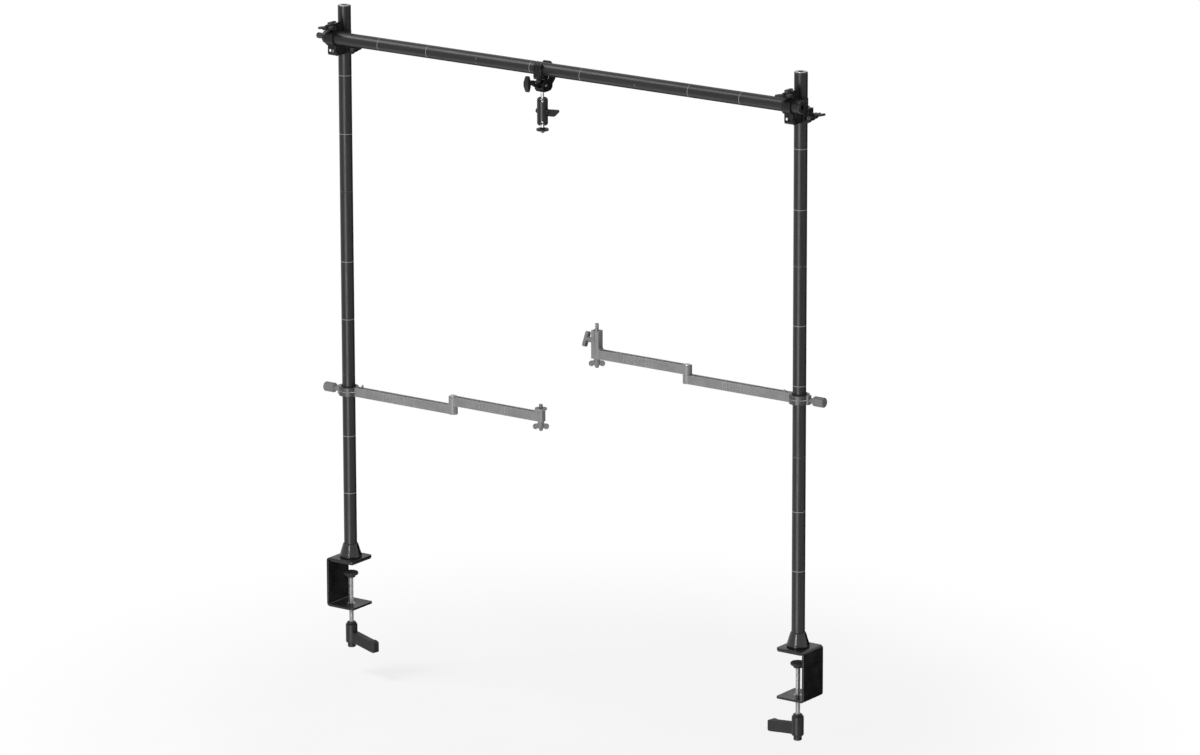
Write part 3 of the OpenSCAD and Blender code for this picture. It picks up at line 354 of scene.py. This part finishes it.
dress(knob, "arm_thumbscrew", "lock_disc")
dress(rubber(), "jaw_pads", "left_pressure_pad", "right_pressure_pad", "left_collar_sleeve",
      "right_collar_sleeve")

# Steel parts
plated = steel("plated_steel")
dress(plated, "base_bolts", "clamp_nuts", "pole_joiners", "crab_pivot", "left_elbow_pin",
      "right_elbow_pin", "upper_ball_stud")
dress(steel("black_bar_stud", (0, 1.5, -30.4, -14), BLACK_OXIDE, metal=0.5), "bar_joiners")
dress(steel("black_swing_bolt", (1, 1.0, None, None), BLACK_OXIDE, metal=0.5), "corner_bolts")
dress(steel("black_pin", None, BLACK_OXIDE, metal=0.5), "corner_pins", "pole_set_screws")
dress(steel("steel_camera_stud", (2, 1.27, 700, 813)), "lower_ball_stud")
dress(steel("steel_phone_stud", (2, 1.27, 479.5, 520)), "phone_ball_stud")

# The T knob of the clamp under the crossbar has a steel screw
KNOB_SCREW_X = 430 * MM
KNOB_SCREW_Z = BAR_HEIGHT - 18.5 * MM
KNOB_SCREW_R = 2.3 * MM
KNOB_SCREW_FRONT, KNOB_SCREW_BACK = -64 * MM, -24 * MM


def on_knob_screw(p):
    off_axis = math.hypot(p.x - KNOB_SCREW_X, p.z - KNOB_SCREW_Z)
    return KNOB_SCREW_FRONT < p.y < KNOB_SCREW_BACK and off_axis < KNOB_SCREW_R


dress_part("crab_knob", knob, plated, on_knob_screw)

# Side arms
dress(anodised_grey("arm_grey"), "left_upper_link", "right_upper_link")
dress(anodised_grey("left_arm_grey", LEFT_COLLAR), "left_lower_link")
dress(anodised_grey("right_arm_grey", RIGHT_COLLAR), "right_lower_link")
dress(plastic("grey_plastic", (0.1, 0.101, 0.103), (0.13, 0.131, 0.133), rough=(0.4, 0.52), level=0.36),
      "left_collar_knob", "right_collar_knob", "left_wing_screw", "right_wing_screw", "phone_ball_knob")


# Pieces built here
def new_object(name, verts, faces, material):
    mesh = bpy.data.meshes.new(name)
    mesh.from_pydata(verts, [], faces)
    mesh.materials.append(material)
    obj = bpy.data.objects.new(name, mesh)
    scene.collection.objects.link(obj)
    return obj


def threaded_rod(name, foot, length, radius, pitch, ends, material):
    """An upright rod with a right-hand thread as real turns; ends is the plain length at each end."""
    around, per_turn, depth = 30, 6, 0.6 * pitch
    # Half the width of the flat crest and of one flank, as shares of the pitch
    crest, flank = 0.06, 0.34
    count = round(length / pitch * per_turn)
    verts, faces = [], []
    for i in range(count + 1):
        z = length * i / count
        for k in range(around):
            phase = (z / pitch - k / around) % 1
            from_crest = min(phase, 1 - phase)
            r = radius - depth * min(1, max(0, (from_crest - crest) / flank))
            if z < ends or z > length - ends:
                r = radius - depth
            a = 2 * math.pi * k / around
            verts.append((foot[0] + r * math.cos(a), foot[1] + r * math.sin(a), foot[2] + z))
            if i:
                b, n = (i - 1) * around, (k + 1) % around
                faces.append((b + k, b + n, b + around + n, b + around + k))
    faces.append(tuple(reversed(range(around))))
    faces.append(tuple(range(count * around, (count + 1) * around)))
    rod = new_object(name, verts, faces, material)
    rod.data.polygons.foreach_set("use_smooth", [len(f) == 4 for f in faces])
    return rod


# The clamp screws with their thread turns stand for the plain ones of the CAD
CLAMP_SCREW_PITCH = 1.25 * MM
CLAMP_SCREW_PLAIN = 3 * MM
screw_steel = steel("steel_screw", rough=(0.4, 0.5))
for side in ("left", "right"):
    low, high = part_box(side + "_clamp_screw")
    middle = (low + high) / 2
    rod = threaded_rod(side + "_thread", (middle.x, middle.y, low.z), high.z - low.z, (high.x - low.x) / 2,
                       CLAMP_SCREW_PITCH, CLAMP_SCREW_PLAIN, screw_steel)
    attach(rod, side + "_screw")
    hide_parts(side + "_clamp_screw")


# View
def aim(target, azimuth, elevation, roll, distance):
    """Matrix of a viewpoint that looks at target from azimuth and elevation in degrees."""
    a, e, r = math.radians(azimuth), math.radians(elevation), math.radians(roll)
    back = Vector((math.sin(a) * math.cos(e), -math.cos(a) * math.cos(e), math.sin(e)))
    right = Vector((math.cos(a), math.sin(a), 0))
    up = back.cross(right)
    rolled_right = right * math.cos(r) + up * math.sin(r)
    rolled_up = up * math.cos(r) - right * math.sin(r)
    m = Matrix((rolled_right, rolled_up, back)).transposed().to_4x4()
    m.translation = target + back * distance
    return m


IMAGE_WIDTH_PX = 1200
FOCAL_LENGTH_PX = 7025.574
SENSOR_WIDTH_MM = 36
LOOK_AT = Vector((519.79, -0.3, 398.68)) * MM

camera = bpy.data.objects.new("camera", bpy.data.cameras.new("camera"))
scene.collection.objects.link(camera)
camera.data.sensor_width = SENSOR_WIDTH_MM
camera.data.lens = FOCAL_LENGTH_PX * SENSOR_WIDTH_MM / IMAGE_WIDTH_PX
camera.data.clip_start = 0.5
camera.data.clip_end = 60
camera.matrix_world = aim(LOOK_AT, azimuth=35.252, elevation=14.842, roll=-0.14, distance=11.549975)
scene.camera = camera

# Floor
# The handles come 40 mm lower than at rest when the clamps are wide open
FLOOR_Z = cad_box[0].z - 45 * MM
FLOOR_RADIUS = 2.2
# Share of plain white in the floor, up to FADE_FROM from its middle and from FADE_TO on
GLOW_NEAR, GLOW_FAR = 0.72, 1.0
FADE_FROM, FADE_TO = 0.45, 1.1
bpy.ops.mesh.primitive_circle_add(vertices=96, radius=FLOOR_RADIUS, fill_type="NGON",
                                  location=(MIDDLE.x, 0, FLOOR_Z))
floor = bpy.context.object
floor.name = "floor"
g = Graph("floor_pale")
pale = g.mix(g.ramp(g.noise(6, 3), 0.3, 0.7, 0, 1), (0.86, 0.86, 0.86), (0.9, 0.9, 0.9))
g.finish(pale, 0.9, g.bump(g.noise(300, 2), 0.0001, 0.3))
# The floor keeps the object's shadow and fades into the white surroundings with distance
glow = g.tree.nodes.new("ShaderNodeEmission")
glow.inputs["Color"].default_value = WHITE
radius = g.tree.nodes.new("ShaderNodeVectorMath")
radius.operation = "LENGTH"
g.link(g.coord, radius.inputs[0])
blend = g.tree.nodes.new("ShaderNodeMixShader")
g.link(g.ramp(radius.outputs["Value"], FADE_FROM, FADE_TO, GLOW_NEAR, GLOW_FAR), blend.inputs[0])
g.link(g.bsdf.outputs[0], blend.inputs[1])
g.link(glow.outputs[0], blend.inputs[2])
g.link(blend.outputs[0], g.out.inputs["Surface"])
floor.data.materials.append(g.mat)
# Reflections see the same white beyond the floor, and the low softbox isn't cut off by it
floor.visible_glossy = False
floor.visible_shadow = False

# Surroundings: white where they are seen or reflected, and a softer fill light on the object
FILL_STRENGTH = 0.48
world = bpy.data.worlds.new("studio")
scene.world = world
world.use_nodes = True
world_nodes, world_links = world.node_tree.nodes, world.node_tree.links
world_nodes.clear()
path = world_nodes.new("ShaderNodeLightPath")


def either(a, b):
    n = world_nodes.new("ShaderNodeMath")
    n.operation = "MAXIMUM"
    world_links.new(a, n.inputs[0])
    world_links.new(b, n.inputs[1])
    return n.outputs[0]


def background(strength):
    n = world_nodes.new("ShaderNodeBackground")
    n.inputs["Color"].default_value = WHITE
    n.inputs["Strength"].default_value = strength
    return n.outputs[0]


reflected = either(path.outputs["Is Glossy Ray"], path.outputs["Is Transmission Ray"])
mixer = world_nodes.new("ShaderNodeMixShader")
world_links.new(either(path.outputs["Is Camera Ray"], reflected), mixer.inputs[0])
world_links.new(background(FILL_STRENGTH), mixer.inputs[1])
world_links.new(background(1.0), mixer.inputs[2])
out = world_nodes.new("ShaderNodeOutputWorld")
world_links.new(mixer.outputs[0], out.inputs["Surface"])


# Lights and cards
def around_middle(azimuth, distance, z):
    """A point around the object's middle; azimuth is in degrees, 0 in front and positive to the right."""
    a = math.radians(azimuth)
    return Vector((MIDDLE.x + math.sin(a) * distance, -math.cos(a) * distance, z))


def softbox(name, azimuth, centre_z, distance, width, height, radiance):
    """An area light that faces the object's middle."""
    data = bpy.data.lights.new(name, "AREA")
    data.shape = "RECTANGLE"
    data.size, data.size_y = width, height
    data.energy = radiance * math.pi * width * height
    lamp = bpy.data.objects.new(name, data)
    scene.collection.objects.link(lamp)
    lamp.location = around_middle(azimuth, distance, centre_z)
    lamp.rotation_euler = (MIDDLE - lamp.location).to_track_quat("-Z", "Y").to_euler()


def black_card(name, start, stop, distance, low, high):
    """A curved black card that only reflections see, for dark edges on the side turned from the light."""
    count = 24
    verts, faces = [], []
    for i in range(count + 1):
        azimuth = start + (stop - start) * i / count
        verts += [around_middle(azimuth, distance, z) for z in (low, high)]
        if i:
            faces.append((2 * i - 2, 2 * i, 2 * i + 1, 2 * i - 1))
    g = Graph(name)
    color = g.mix(g.noise(4), (0.002, 0.002, 0.002), (0.004, 0.004, 0.004))
    card = new_object(name, verts, faces, g.finish(color, 0.95, Specular_IOR_Level=0.0))
    card.visible_camera = card.visible_diffuse = card.visible_shadow = card.visible_transmission = False


softbox("low_front", azimuth=12, centre_z=-1.19, distance=6.0, width=3.0, height=3.0, radiance=9.0)
softbox("high_left", azimuth=-61, centre_z=3.5, distance=2.6, width=1.6, height=1.6, radiance=9.0)
softbox("low_left", azimuth=-52, centre_z=-2.4, distance=2.8, width=1.8, height=1.8, radiance=1.4)
softbox("mid_front", azimuth=12, centre_z=1.2, distance=5.0, width=1.0, height=0.6, radiance=18.0)
black_card("black_card", start=128, stop=232, distance=8.0, low=-9.0, high=1.9)
black_card("low_black_card", start=232, stop=262, distance=8.0, low=-16.0, high=-5.6)

scene.view_settings.view_transform = "Standard"
